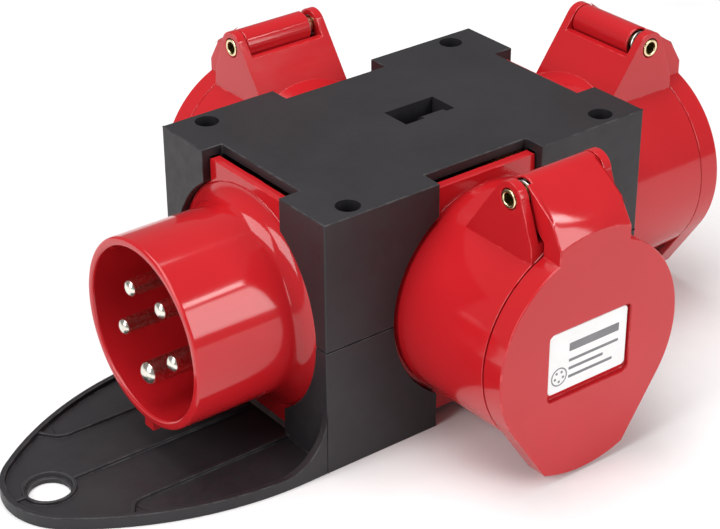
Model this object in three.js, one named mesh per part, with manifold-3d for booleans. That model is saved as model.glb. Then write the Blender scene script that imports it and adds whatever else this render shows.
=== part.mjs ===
// Portable three-way power distribution box: a black two-shell housing with a hanging tongue,
// one round pin inlet and three identical sockets with spring-closed hinged lids.
// Millimetres. The origin is on the floor under the middle of the housing block, +Z is up,
// and the inlet and the tongue point to -X. Sockets face -Y (front), +X (right) and +Y (back).
// Each face has its own local frame: +Y out of the housing, +X across, +Z up, with its origin
// on the device axis in the plane of the housing's face.

import * as THREE from 'three';
import { mergeVertices } from 'three/addons/utils/BufferGeometryUtils.js';
import Module from 'manifold-3d';

const wasm = await Module();
wasm.setup();

// Housing block
const BLOCK_LENGTH = 117;
const BLOCK_WIDTH = 79;
const BLOCK_HEIGHT = 79.8;
const BLOCK_CORNER = 0.4;
const WALL = 3;
const SEAM_HEIGHT = 39.9;
const AXIS_HEIGHT = 40.5;
const GAP = 0.3;

// Opening for a device in each face, and the notches it makes in the top and the underside
const OPENING_RADIUS = 34.6;
const NOTCH_HALF_WIDTH = 18.75;
const NOTCH_DEPTH_TOP = 7;
const NOTCH_DEPTH_UNDER = 13;
const RIB_FRONT = -6.6;
const RIB_BACK = -8.6;
const RIB_RADIUS = 33.4;
const RIB_HALF_SPAN = 38;

// Housing screws
const SCREW_X = 46.4;
const SCREW_Y = 34;
const POST_RADIUS = 5.2;
const SCREW_WELL_RADIUS = 3.6;
const SCREW_WELL_FLOOR = 46;
const SCREW_HOLE_RADIUS = 1.9;
const SCREW_HOLE_FLOOR = 20;
const SCREW_HEAD = { radius: 3.1, height: 2.6, recess: 1.3, recessWidth: 0.9, recessLength: 3.8 };
const SCREW_SHANK = { radius: 1.6, end: 22 };

// Rectangular pocket in the top, with a mound in its near right quarter that rises to the surface
const POCKET = { x0: -2.3, x1: 16, y0: -4.2, y1: 6.1, depth: 11, skin: 1.6 };
const MOUND = { x0: 4.7, x1: 12.8, crest: 0.6, radius: 3.2 };

// Tongue with its rim, ribs, gussets and hanging hole
const TONGUE_TIP_X = -139.6;
const TONGUE_TIP_RADIUS = 21;
const TONGUE_FLOOR = 2.2;
const TONGUE_RIM_WIDTH = 1.7;
const TONGUE_RIM_TOP = 3.8;
const TONGUE_RIB_TOP = 3.2;
const TONGUE_RIB_WIDTH = 1.2;
const SIDE_RIB = { y: 20, endX: -108.5, bendRadius: 5, lean: 52, tail: 9 };
const HANG_HOLE = { x: -126.7, radius: 6, stepRadius: 6.9, stepFloor: 1.6, bossRadius: 7.9 };
const GUSSET_RADIUS = 16;
const GUSSET_THICKNESS = 2.4;
const TONGUE_ARC_START = 8;
const SUNK = 0.5;

// Flange that every device has
const FLANGE_RADIUS = 34.3;
const FLANGE_HALF_WIDTH = 18.4;
const FLANGE_HALF_HEIGHT = 36.4;
const FLANGE_FRONT = -2.4;
const FLANGE_BACK = -6.3;
const RETAINER_RADIUS = 36;
const RETAINER_FRONT = -3.3;
const FLOOR_HOLE_RADIUS = 21.5;

// Pins and contacts: five on one pitch circle, earth at the bottom
const PITCH_RADIUS = 13.3;
const CONTACTS = [
  { name: 'L1', angle: 54, pin: 2.5, busLevel: 58 },
  { name: 'L2', angle: 126, pin: 2.5, busLevel: 63 },
  { name: 'L3', angle: 198, pin: 2.5, busLevel: 30 },
  { name: 'N', angle: 342, pin: 2.5, busLevel: 21 },
  { name: 'PE', angle: 270, pin: 3.5, busLevel: 14 },
];
const TAIL_RADIUS = 2;
const TAIL_END = -14.7;
const CARRIER_BACK = -9;
const CARRIER_BOSS_RADIUS = 21.2;

// Inlet
const SHROUD_RADIUS = 28.6;
const SHROUD_INNER_RADIUS = 25.9;
const SHROUD_MOUTH = 35;
const SHROUD_LIP = 0.8;
const SHROUD_FILLET = 6;
const INLET_FLOOR = -3.5;
const INLET_KEY = { halfWidth: 2.2, top: 31.5, start: 2 };
const PIN_CARRIER_RADIUS = 25.6;
const PIN_CARRIER_FACE = -0.5;
const PIN_TIP = 34.2;
const EARTH_PIN_TIP = 35.2;
const PIN_DOME = 0.62;

// Socket
const COLLAR_RADIUS = 32.6;
const COLLAR_BASE_RADIUS = 33.1;
const COLLAR_BORE = 29.4;
const COLLAR_FRONT = 35.2;
const COLLAR_FLOOR = -1;
const LIP_RADIUS = 30.1;
const LIP_FRONT = 38.7;
const KEYWAY = { halfWidth: 3, top: 31.7 };
const CONTACT_CARRIER_RADIUS = 24.9;
const CONTACT_CARRIER_FACE = 36;
const CONTACT_ENTRY_DEPTH = 5.5;
const CONTACT_ENTRY_CLEARANCE = 0.5;
const CARRIER_EDGE = 0.8;
const SLEEVE_WALL = 1.1;
const SLEEVE_CLEARANCE = 0.1;

// Hinge
const HINGE_OUT = 25.3;
const HINGE_UP = 44.1;
const EAR_HALF_WIDTH = 16.3;
const EAR_INNER = 13.4;
const EAR_RADIUS = 5.1;
const EAR_BACK_ANGLE = 144.7;
const EAR_FRONT_ANGLE = 5;
const EAR_FOOT = 20;
const EAR_FRONT_EDGE = [[35.2, 28.4], [34.8, 33.2], [32.3, 39.8]];
const BACK_PLATE = 2;
const BACK_PLATE_TOP = 42.3;
const HINGE_POCKET_FLOOR = 33.4;
const HINGE_BORE = 3.1;
const HINGE_PIN = { radius: 2.8, bore: 1.85, halfLength: 16.5 };
const SPRING = { radius: 3.5, wire: 0.35, start: 1, end: 12.6, turns: 5 };

// Lid
const LID_RADIUS = 32.5;
const LID_BACK = 35.5;
const LID_INNER = 40.2;
const LID_FACE = 42.6;
const LID_WALL = 1.9;
const BEAK_RADIUS = 39.5;
const BEAK_HALF_WIDTH = 14.7;
const BEAK_INNER_HALF_WIDTH = 13.2;
const BARREL_RADIUS = 5;
const BARREL = { start: -13.1, end: 10.8 };
const SPRING_BORE = 4.2;

// Neck between the barrel and the lid's face; its heel and hollow are drawn as (out, up)
const NECK = {
  halfWidth: 12.8, backHalfWidth: 12.3, wall: 1.8, roof: 2.4, topAngle: 56.25, dropAngle: 33.75,
  foot: 27,
  heel: [[35.5, 34], [30, 38.6], [27.3, 39.55]],
  hollow: { back: 31.2, bend: 38, toe: 28, floor: 33.4 },
};
const NECK_CONE = { faceRadius: 36.4, slope: 1.57, reach: 60, back: 20 };
const LABEL_RECESS = { width: 30, height: 21.6, centre: -1.8, corner: 1.6, floor: 41 };
const LABEL = { width: 28.7, height: 19, centre: -1.2, corner: 1.4, back: 41.3, front: 41.7 };
const LID_SEAL = { inner: 28.6, outer: 30.1, back: 39, front: 39.9 };

// Conductors inside the housing
const BUS_WIDTH = 4;
const BUS_THICKNESS = 1.5;
const BUS_LEG = { front: -15, back: -16.5 };

// Faceting
const FINE = 36;
const MEDIUM = 20;
const COARSE = 10;

const DEGREE = Math.PI / 180;
const FAR = 80;

const FACES = [
  { name: 'inlet', turn: 90, reach: BLOCK_LENGTH / 2 },
  { name: 'front_socket', turn: 180, reach: BLOCK_WIDTH / 2 },
  { name: 'right_socket', turn: -90, reach: BLOCK_LENGTH / 2 },
  { name: 'back_socket', turn: 0, reach: BLOCK_WIDTH / 2 },
];

// Solids from closed geometries

function solid(geometry) {
  geometry.deleteAttribute('normal');
  geometry.deleteAttribute('uv');
  const merged = mergeVertices(geometry, 1e-4);
  const index = merged.index.array;
  const triangles = [];
  for (let i = 0; i < index.length; i += 3) {
    const [a, b, c] = [index[i], index[i + 1], index[i + 2]];
    if (a !== b && b !== c && c !== a) triangles.push(a, b, c);
  }
  return new wasm.Manifold(new wasm.Mesh({
    numProp: 3,
    vertProperties: Float32Array.from(merged.attributes.position.array),
    triVerts: Uint32Array.from(triangles),
  }));
}

function union(pieces) {
  return pieces.reduce((whole, piece) => whole.add(piece));
}

function cut(body, pieces) {
  return pieces.reduce((whole, piece) => whole.subtract(piece), body);
}

function geometryOf(body) {
  const { vertProperties, triVerts, numProp } = body.getMesh();
  const positions = new Float32Array((vertProperties.length / numProp) * 3);
  for (let i = 0; i < positions.length / 3; i++) {
    positions.set(vertProperties.subarray(i * numProp, i * numProp + 3), i * 3);
  }
  const geometry = new THREE.BufferGeometry();
  geometry.setAttribute('position', new THREE.BufferAttribute(positions, 3));
  geometry.setIndex(new THREE.BufferAttribute(Uint32Array.from(triVerts), 1));
  geometry.computeVertexNormals();
  return geometry;
}

// Basic geometries in a local frame

function box(x0, x1, y0, y1, z0, z1) {
  return new THREE.BoxGeometry(x1 - x0, y1 - y0, z1 - z0)
    .translate((x0 + x1) / 2, (y0 + y1) / 2, (z0 + z1) / 2);
}

function cylinderY(radius, y0, y1, sides = FINE, x = 0, z = 0) {
  return new THREE.CylinderGeometry(radius, radius, y1 - y0, sides)
    .translate(x, (y0 + y1) / 2, z);
}

function cylinderX(radius, x0, x1, y, z, sides = MEDIUM) {
  return new THREE.CylinderGeometry(radius, radius, x1 - x0, sides)
    .rotateZ(Math.PI / 2).translate((x0 + x1) / 2, y, z);
}

function cylinderZ(radius, z0, z1, x, y, sides = MEDIUM) {
  return new THREE.CylinderGeometry(radius, radius, z1 - z0, sides)
    .rotateX(Math.PI / 2).translate(x, y, (z0 + z1) / 2);
}

function latheY(profile, sides = FINE) {
  return new THREE.LatheGeometry(profile.map(([r, y]) => new THREE.Vector2(r, y)), sides);
}

function extrusion(shape, depth, curveSegments) {
  return new THREE.ExtrudeGeometry(shape, { depth, bevelEnabled: false, curveSegments });
}

// An outline drawn in x and z, standing between two planes of y
function prismY(shape, y0, y1, curveSegments = COARSE) {
  return extrusion(shape, y1 - y0, curveSegments).rotateX(Math.PI / 2).translate(0, y1, 0);
}

// An outline drawn in y and z, standing between two planes of x
function prismX(shape, x0, x1, curveSegments = COARSE) {
  return extrusion(shape, x1 - x0, curveSegments).rotateX(Math.PI / 2).rotateZ(Math.PI / 2)
    .translate(x0, 0, 0);
}

function prismZ(shape, z0, z1, curveSegments = COARSE) {
  return extrusion(shape, z1 - z0, curveSegments).translate(0, 0, z0);
}

function polygon(points) {
  return new THREE.Shape(points.map(([a, b]) => new THREE.Vector2(a, b)));
}

function arcPoints(centreA, centreB, radius, from, to, steps) {
  return Array.from({ length: steps + 1 }, (_, i) => {
    const angle = (from + (to - from) * i / steps) * DEGREE;
    return [centreA + radius * Math.cos(angle), centreB + radius * Math.sin(angle)];
  });
}

function roundedRectangle(width, height, corner, centreX = 0, centreY = 0) {
  const [w, h] = [width / 2 - corner, height / 2 - corner];
  const shape = new THREE.Shape();
  shape.absarc(centreX + w, centreY - h, corner, -Math.PI / 2, 0);
  shape.absarc(centreX + w, centreY + h, corner, 0, Math.PI / 2);
  shape.absarc(centreX - w, centreY + h, corner, Math.PI / 2, Math.PI);
  shape.absarc(centreX - w, centreY - h, corner, Math.PI, 1.5 * Math.PI);
  return shape;
}

function faceMatrix({ turn, reach }) {
  return new THREE.Matrix4().makeRotationZ(turn * DEGREE)
    .multiply(new THREE.Matrix4().makeTranslation(0, reach, AXIS_HEIGHT));
}

// Where a contact sits in a face's frame: the inlet's layout is the mirror of the sockets'
function contactPlace(contact, face) {
  const side = face.name === 'inlet' ? -1 : 1;
  return {
    x: side * PITCH_RADIUS * Math.cos(contact.angle * DEGREE),
    z: PITCH_RADIUS * Math.sin(contact.angle * DEGREE),
  };
}

// Materials

function material(color, roughness, metalness = 0) {
  return new THREE.MeshStandardMaterial({ color, roughness, metalness });
}

const housingPlastic = () => material(0x3f3d3f, 0.62);
const redPlastic = () => material(0xc5282d, 0.22);
const redInsulator = () => material(0x9e1c20, 0.35);
const blackInsulator = () => material(0x2a2a2c, 0.5);
const blackRubber = () => material(0x1d1d1f, 0.85);
const nickel = () => material(0xd9d5c8, 0.25, 1);
const brass = () => material(0xd8bd72, 0.3, 1);
const copper = () => material(0xb87345, 0.35, 1);
const steel = () => material(0x9b9b9b, 0.35, 1);
const labelFilm = () => material(0xf2f2f2, 0.4);

// Housing

function blockSlab(z0, z1) {
  return solid(prismZ(roundedRectangle(BLOCK_LENGTH, BLOCK_WIDTH, BLOCK_CORNER), z0, z1, 2));
}

function faceOpenings() {
  return FACES.flatMap((face) => [
    cylinderY(OPENING_RADIUS, -WALL - 1, 1),
    box(-NOTCH_HALF_WIDTH, NOTCH_HALF_WIDTH, -NOTCH_DEPTH_TOP, 1, 0, FAR),
    box(-NOTCH_HALF_WIDTH, NOTCH_HALF_WIDTH, -NOTCH_DEPTH_UNDER, 1, -FAR, 0),
  ].map((geometry) => solid(geometry.applyMatrix4(faceMatrix(face)))));
}

// Ribs that stand behind the device flanges and hold them against the walls
function retainingRibs() {
  return FACES.map((face) => cut(
    solid(box(-RIB_HALF_SPAN, RIB_HALF_SPAN, RIB_BACK, RIB_FRONT, -FAR, FAR)
      .applyMatrix4(faceMatrix(face))),
    [
      solid(cylinderY(RIB_RADIUS, RIB_BACK - 1, RIB_FRONT + 1, MEDIUM)
        .applyMatrix4(faceMatrix(face))),
      solid(box(-NOTCH_HALF_WIDTH, NOTCH_HALF_WIDTH, RIB_BACK - 1, RIB_FRONT + 1, -FAR, FAR)
        .applyMatrix4(faceMatrix(face))),
    ],
  ));
}

function screwPlaces() {
  return [[1, 1], [1, -1], [-1, 1], [-1, -1]].map(([a, b]) => [a * SCREW_X, b * SCREW_Y]);
}

// One half of the housing between two heights: walls, one floor or roof, posts and ribs
function shellHalf(z0, z1, cavity0, cavity1) {
  const outside = blockSlab(z0, z1);
  const [halfLength, halfWidth] = [BLOCK_LENGTH / 2 - WALL, BLOCK_WIDTH / 2 - WALL];
  const hollow = cut(outside, [
    solid(box(-halfLength, halfLength, -halfWidth, halfWidth, cavity0, cavity1)),
  ]);
  const posts = screwPlaces().map(([x, y]) => solid(cylinderZ(POST_RADIUS, z0, z1, x, y)));
  return cut(union([hollow, ...posts, ...retainingRibs()]).intersect(outside), faceOpenings());
}

function topPocket() {
  const { x0, x1, y0, y1, depth, skin } = POCKET;
  return solid(box(x0 - skin, x1 + skin, y0 - skin, y1 + skin,
    BLOCK_HEIGHT - depth - skin, BLOCK_HEIGHT - 1));
}

// The pocket's hollow, less the mound whose crest is level with the top
function topPocketHollow() {
  const { x0, x1, y0, y1, depth } = POCKET;
  const { crest, radius } = MOUND;
  const floor = BLOCK_HEIGHT - depth;
  const mound = polygon([
    [y0 - 1, floor - 1], [y0 + crest + radius, floor - 1],
    ...arcPoints(y0 + crest, BLOCK_HEIGHT - radius, radius, 0, 90, 3),
    [y0 + crest, BLOCK_HEIGHT + 2], [y0 - 1, BLOCK_HEIGHT + 2],
  ]);
  return cut(solid(box(x0, x1, y0, y1, floor, BLOCK_HEIGHT + 1)),
    [solid(prismX(mound, MOUND.x0, MOUND.x1))]);
}

function upperShell() {
  const [bottom, top] = [SEAM_HEIGHT + GAP / 2, BLOCK_HEIGHT];
  const wells = screwPlaces().flatMap(([x, y]) => [
    solid(cylinderZ(SCREW_WELL_RADIUS, SCREW_WELL_FLOOR, top + 1, x, y)),
    solid(cylinderZ(SCREW_HOLE_RADIUS, bottom - 1, SCREW_WELL_FLOOR + 1, x, y, COARSE)),
  ]);
  const shell = shellHalf(bottom, top, bottom - 1, top - WALL).add(topPocket());
  return cut(shell, [topPocketHollow(), ...wells]);
}

// Tongue outline: side arcs that start in line with the block's sides and run into the tip arc
function tongueOutline(inset) {
  const start = -BLOCK_LENGTH / 2 - TONGUE_ARC_START;
  const half = BLOCK_WIDTH / 2;
  const tipCentre = TONGUE_TIP_X + TONGUE_TIP_RADIUS;
  const run = tipCentre - start;
  const sideRadius = (run * run + half * half - TONGUE_TIP_RADIUS ** 2)
    / (2 * (half - TONGUE_TIP_RADIUS));
  const turn = Math.atan2(-run, sideRadius - half);
  const [side, tip] = [sideRadius - inset, TONGUE_TIP_RADIUS - inset];
  const shape = new THREE.Shape();
  shape.moveTo(start + 20, -half + inset);
  shape.lineTo(start + 20, half - inset);
  shape.absarc(start, half - sideRadius, side, Math.PI / 2, Math.PI / 2 + turn);
  shape.absarc(tipCentre, 0, tip, Math.PI / 2 + turn, 1.5 * Math.PI - turn);
  shape.absarc(start, sideRadius - half, side, 1.5 * Math.PI - turn, 1.5 * Math.PI);
  return shape;
}

// A rib that runs out from the block and bends towards the rim
function sideRib(side) {
  const { y, endX, bendRadius, lean, tail } = SIDE_RIB;
  const half = TONGUE_RIB_WIDTH / 2;
  const root = -BLOCK_LENGTH / 2 + 1;
  const [inner, outer] = [bendRadius - half, bendRadius + half].map((radius) => {
    const bend = arcPoints(endX, y + bendRadius, radius, 270, 270 - lean, 3);
    const [lastX, lastY] = bend.at(-1);
    const [alongX, alongY] = [-Math.cos(lean * DEGREE) * tail, Math.sin(lean * DEGREE) * tail];
    return [...bend, [lastX + alongX, lastY + alongY]];
  });
  const outline = [[root, y + half], ...inner, ...outer.reverse(), [root, y - half]];
  return solid(prismZ(polygon(outline.map(([a, b]) => [a, b * side])), SUNK, TONGUE_RIB_TOP));
}

// Webs in the planes of the block's sides whose concave edge sweeps down to the tongue's rim
function gusset(side) {
  const face = -BLOCK_LENGTH / 2 + 1;
  const bottom = TONGUE_RIM_TOP - 0.4;
  const shape = new THREE.Shape();
  shape.moveTo(face, SUNK);
  shape.lineTo(face, bottom + GUSSET_RADIUS);
  shape.lineTo(-BLOCK_LENGTH / 2, bottom + GUSSET_RADIUS);
  shape.absarc(-BLOCK_LENGTH / 2 - GUSSET_RADIUS, bottom + GUSSET_RADIUS, GUSSET_RADIUS,
    0, -Math.PI / 2, true);
  shape.lineTo(-BLOCK_LENGTH / 2 - GUSSET_RADIUS, SUNK);
  const y = side * (BLOCK_WIDTH - GUSSET_THICKNESS) / 2;
  return solid(prismY(shape, y - GUSSET_THICKNESS / 2, y + GUSSET_THICKNESS / 2, 4));
}

function tongue() {
  const rim = solid(prismZ(tongueOutline(0), 0, TONGUE_RIM_TOP, 8));
  const floorPocket = solid(prismZ(tongueOutline(TONGUE_RIM_WIDTH), TONGUE_FLOOR, FAR, 8));
  const outline = solid(prismZ(tongueOutline(0), 0, FAR, 8));
  const middleRib = polygon([[HANG_HOLE.x, -TONGUE_RIB_WIDTH / 2],
    [-BLOCK_LENGTH / 2 + 1, -TONGUE_RIB_WIDTH / 2], [-BLOCK_LENGTH / 2 + 1, TONGUE_RIB_WIDTH / 2],
    [HANG_HOLE.x, TONGUE_RIB_WIDTH / 2]]);
  const { x, radius, stepRadius, stepFloor, bossRadius } = HANG_HOLE;
  const tray = union([
    cut(rim, [floorPocket]),
    solid(prismZ(middleRib, SUNK, TONGUE_RIB_TOP)),
    solid(cylinderZ(bossRadius, SUNK, TONGUE_RIB_TOP, x, 0)),
    sideRib(1), sideRib(-1), gusset(1), gusset(-1),
  ]).intersect(outline);
  return cut(tray, [
    solid(cylinderZ(radius, -1, FAR, x, 0)),
    solid(cylinderZ(stepRadius, stepFloor, FAR, x, 0)),
    solid(box(-BLOCK_LENGTH / 2 + NOTCH_DEPTH_UNDER / 2, 0, -FAR, FAR, -1, FAR)),
  ]);
}

function lowerShell() {
  const top = SEAM_HEIGHT - GAP / 2;
  const holes = screwPlaces().map(([x, y]) => solid(
    cylinderZ(SCREW_HOLE_RADIUS, SCREW_HOLE_FLOOR, top + 1, x, y, COARSE)));
  const shell = cut(shellHalf(0, top, WALL, top + 1), holes);
  const aroundBlock = blockSlab(-1, FAR);
  return shell.add(cut(tongue(), [aroundBlock]).add(tongueRoot()));
}

// Strip that joins the tongue to the foot of the block's wall under the inlet's notch
function tongueRoot() {
  const x = -BLOCK_LENGTH / 2;
  return solid(box(x - 1, x - FLANGE_FRONT - GAP, -BLOCK_WIDTH / 2 + 1, BLOCK_WIDTH / 2 - 1,
    0, TONGUE_FLOOR));
}

function housingScrew([x, y]) {
  const base = SCREW_WELL_FLOOR + GAP;
  const top = base + SCREW_HEAD.height;
  const halfLength = SCREW_HEAD.recessLength / 2;
  const halfWidth = SCREW_HEAD.recessWidth / 2;
  const recess = top - SCREW_HEAD.recess;
  return cut(union([
    solid(cylinderZ(SCREW_HEAD.radius, base, top, x, y, COARSE)),
    solid(cylinderZ(SCREW_SHANK.radius, SCREW_SHANK.end, base + 1, x, y, 8)),
  ]), [
    solid(box(x - halfLength, x + halfLength, y - halfWidth, y + halfWidth, recess, top + 1)),
    solid(box(x - halfWidth, x + halfWidth, y - halfLength, y + halfLength, recess, top + 1)),
  ]);
}

// Flange shared by the inlet and the sockets

function flangePlate() {
  return union([
    solid(cylinderY(FLANGE_RADIUS, FLANGE_BACK, FLANGE_FRONT)),
    solid(cylinderY(RETAINER_RADIUS, FLANGE_BACK, RETAINER_FRONT, MEDIUM)),
    solid(box(-FLANGE_HALF_WIDTH, FLANGE_HALF_WIDTH, FLANGE_BACK + 0.7, FLANGE_FRONT,
      -FLANGE_HALF_HEIGHT, FLANGE_HALF_HEIGHT)),
  ]);
}

// Inlet

function inletBody() {
  const shroud = latheY([
    [0, FLANGE_BACK],
    [FLANGE_RADIUS - 1, FLANGE_BACK],
    ...arcPoints(SHROUD_RADIUS + SHROUD_FILLET, FLANGE_FRONT + SHROUD_FILLET, SHROUD_FILLET,
      265, 180, 3),
    ...arcPoints(SHROUD_RADIUS - SHROUD_LIP, SHROUD_MOUTH - SHROUD_LIP, SHROUD_LIP, 0, 90, 2),
    [SHROUD_INNER_RADIUS + SHROUD_LIP, SHROUD_MOUTH],
    [SHROUD_INNER_RADIUS, SHROUD_MOUTH - SHROUD_LIP],
    [SHROUD_INNER_RADIUS, INLET_FLOOR],
    [0, INLET_FLOOR],
  ]);
  const key = cut(
    solid(box(-INLET_KEY.halfWidth, INLET_KEY.halfWidth, INLET_KEY.start, SHROUD_MOUTH - 0.5,
      -INLET_KEY.top, -SHROUD_INNER_RADIUS - 0.5)),
    [solid(cylinderY(SHROUD_INNER_RADIUS + 1, 0, FAR))],
  );
  return cut(union([flangePlate(), solid(shroud), key]), [
    solid(cylinderY(SHROUD_INNER_RADIUS, INLET_FLOOR, SHROUD_MOUTH - SHROUD_LIP)),
    solid(cylinderY(FLOOR_HOLE_RADIUS, FLANGE_BACK - 1, INLET_FLOOR + 1, MEDIUM)),
  ]);
}

function pinCarrier(face) {
  const disc = latheY([
    [0, CARRIER_BACK], [CARRIER_BOSS_RADIUS, CARRIER_BACK],
    [CARRIER_BOSS_RADIUS, INLET_FLOOR + GAP], [PIN_CARRIER_RADIUS, INLET_FLOOR + GAP],
    [PIN_CARRIER_RADIUS, PIN_CARRIER_FACE], [0, PIN_CARRIER_FACE],
  ], MEDIUM);
  return cut(solid(disc), CONTACTS.map((contact) => {
    const { x, z } = contactPlace(contact, face);
    return solid(cylinderY(contact.pin + GAP, -FAR, 1, COARSE, x, z));
  }));
}

function inletPin(contact, face) {
  const { x, z } = contactPlace(contact, face);
  const tip = contact.name === 'PE' ? EARTH_PIN_TIP : PIN_TIP;
  const dome = contact.pin * PIN_DOME;
  const profile = [[0, TAIL_END], [TAIL_RADIUS, TAIL_END], [TAIL_RADIUS, CARRIER_BACK],
    [contact.pin, CARRIER_BACK]];
  for (const angle of [0, 30, 60, 90]) {
    profile.push([contact.pin * Math.cos(angle * DEGREE),
      tip - dome + dome * Math.sin(angle * DEGREE)]);
  }
  return solid(latheY(profile, COARSE).translate(x, 0, z));
}

// Socket

function hingePoint(angle, radius) {
  return [HINGE_OUT + radius * Math.cos(angle * DEGREE),
    HINGE_UP + radius * Math.sin(angle * DEGREE)];
}

// How far out the sloping back of the hinge block lies at a height above the device axis
function backSlope(height) {
  const [y, z] = hingePoint(EAR_BACK_ANGLE, EAR_RADIUS);
  return y - (z - height) / Math.tan((EAR_BACK_ANGLE - 90) * DEGREE);
}

function hingeBlock() {
  const side = new THREE.Shape();
  side.moveTo(COLLAR_FRONT, EAR_FOOT);
  for (const [y, z] of EAR_FRONT_EDGE) side.lineTo(y, z);
  side.absarc(HINGE_OUT, HINGE_UP, EAR_RADIUS, EAR_FRONT_ANGLE * DEGREE,
    EAR_BACK_ANGLE * DEGREE);
  side.lineTo(backSlope(EAR_FOOT), EAR_FOOT);
  const plate = BACK_PLATE / Math.sin((EAR_BACK_ANGLE - 90) * DEGREE);
  const pocket = polygon([
    [backSlope(HINGE_POCKET_FLOOR) + plate, HINGE_POCKET_FLOOR], [FAR, HINGE_POCKET_FLOOR],
    [FAR, FAR], [0, FAR], [0, BACK_PLATE_TOP], [backSlope(BACK_PLATE_TOP) + plate, BACK_PLATE_TOP],
  ]);
  return cut(solid(prismX(side, -EAR_HALF_WIDTH, EAR_HALF_WIDTH, 4)), [
    solid(prismX(pocket, -EAR_INNER, EAR_INNER)),
    solid(cylinderX(HINGE_BORE, -FAR, FAR, HINGE_OUT, HINGE_UP, COARSE)),
  ]);
}

function socketBody() {
  const collar = latheY([
    [0, FLANGE_BACK], [FLANGE_RADIUS - 1, FLANGE_BACK], [FLANGE_RADIUS - 1, FLANGE_FRONT - 0.5],
    [COLLAR_BASE_RADIUS, FLANGE_FRONT], [COLLAR_RADIUS, COLLAR_FRONT - 4],
    [COLLAR_RADIUS, COLLAR_FRONT], [LIP_RADIUS, COLLAR_FRONT], [LIP_RADIUS, LIP_FRONT],
    [0, LIP_FRONT],
  ]);
  return cut(union([flangePlate(), solid(collar), hingeBlock()]), [
    solid(cylinderY(COLLAR_BORE, COLLAR_FLOOR, FAR)),
    solid(box(-KEYWAY.halfWidth, KEYWAY.halfWidth, COLLAR_FLOOR, COLLAR_FRONT - 2,
      -KEYWAY.top, -COLLAR_BORE + 2)),
    solid(cylinderY(FLOOR_HOLE_RADIUS, FLANGE_BACK - 1, COLLAR_FLOOR + 1, MEDIUM)),
  ]);
}

function contactCarrier(face) {
  const block = latheY([
    [0, CARRIER_BACK], [CARRIER_BOSS_RADIUS, CARRIER_BACK],
    [CARRIER_BOSS_RADIUS, COLLAR_FLOOR + GAP], [CONTACT_CARRIER_RADIUS, COLLAR_FLOOR + GAP],
    [CONTACT_CARRIER_RADIUS, CONTACT_CARRIER_FACE - CARRIER_EDGE],
    [CONTACT_CARRIER_RADIUS - CARRIER_EDGE, CONTACT_CARRIER_FACE], [0, CONTACT_CARRIER_FACE],
  ], MEDIUM);
  const chamberEnd = CONTACT_CARRIER_FACE - CONTACT_ENTRY_DEPTH;
  return cut(solid(block), CONTACTS.flatMap((contact) => {
    const { x, z } = contactPlace(contact, face);
    const sleeve = contact.pin + SLEEVE_CLEARANCE + SLEEVE_WALL;
    return [
      solid(cylinderY(contact.pin + CONTACT_ENTRY_CLEARANCE, chamberEnd - 1, FAR, COARSE, x, z)),
      solid(cylinderY(sleeve + SLEEVE_CLEARANCE + GAP, -FAR, chamberEnd, COARSE, x, z)),
    ];
  }));
}

function contactSleeve(contact, face) {
  const { x, z } = contactPlace(contact, face);
  const inner = contact.pin + SLEEVE_CLEARANCE;
  const outer = inner + SLEEVE_WALL;
  const mouth = CONTACT_CARRIER_FACE - CONTACT_ENTRY_DEPTH - GAP;
  return solid(latheY([
    [0, TAIL_END], [TAIL_RADIUS, TAIL_END], [TAIL_RADIUS, CARRIER_BACK], [outer, CARRIER_BACK],
    [outer, mouth], [inner, mouth], [inner, 0], [0, 0],
  ], COARSE).translate(x, 0, z));
}

function hingePin() {
  const { radius, bore, halfLength } = HINGE_PIN;
  return cut(
    solid(cylinderX(radius, -halfLength, halfLength, HINGE_OUT, HINGE_UP, COARSE)),
    [solid(cylinderX(bore, -FAR, FAR, HINGE_OUT, HINGE_UP, COARSE))],
  );
}

class Helix extends THREE.Curve {
  getPoint(t, target = new THREE.Vector3()) {
    const angle = 2 * Math.PI * SPRING.turns * t;
    return target.set(
      SPRING.start + (SPRING.end - SPRING.start) * t,
      HINGE_OUT + SPRING.radius * Math.cos(angle),
      HINGE_UP + SPRING.radius * Math.sin(angle),
    );
  }
}

function lidSpring() {
  const wire = new THREE.Shape().absarc(0, 0, SPRING.wire, 0, 2 * Math.PI);
  return solid(new THREE.ExtrudeGeometry(wire,
    { extrudePath: new Helix(), steps: SPRING.turns * 7, curveSegments: 2 }));
}

// Lid outline: a disc with a beak whose straight sides are tangent to it
function lidOutline(radius, beakRadius, halfWidth) {
  const corner = Math.acos(halfWidth / beakRadius);
  const tangent = corner - Math.acos(radius / beakRadius);
  const shape = new THREE.Shape();
  shape.absarc(0, 0, radius, -tangent, Math.PI + tangent);
  shape.absarc(0, 0, beakRadius, Math.PI + corner, 2 * Math.PI - corner);
  return shape;
}

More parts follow.
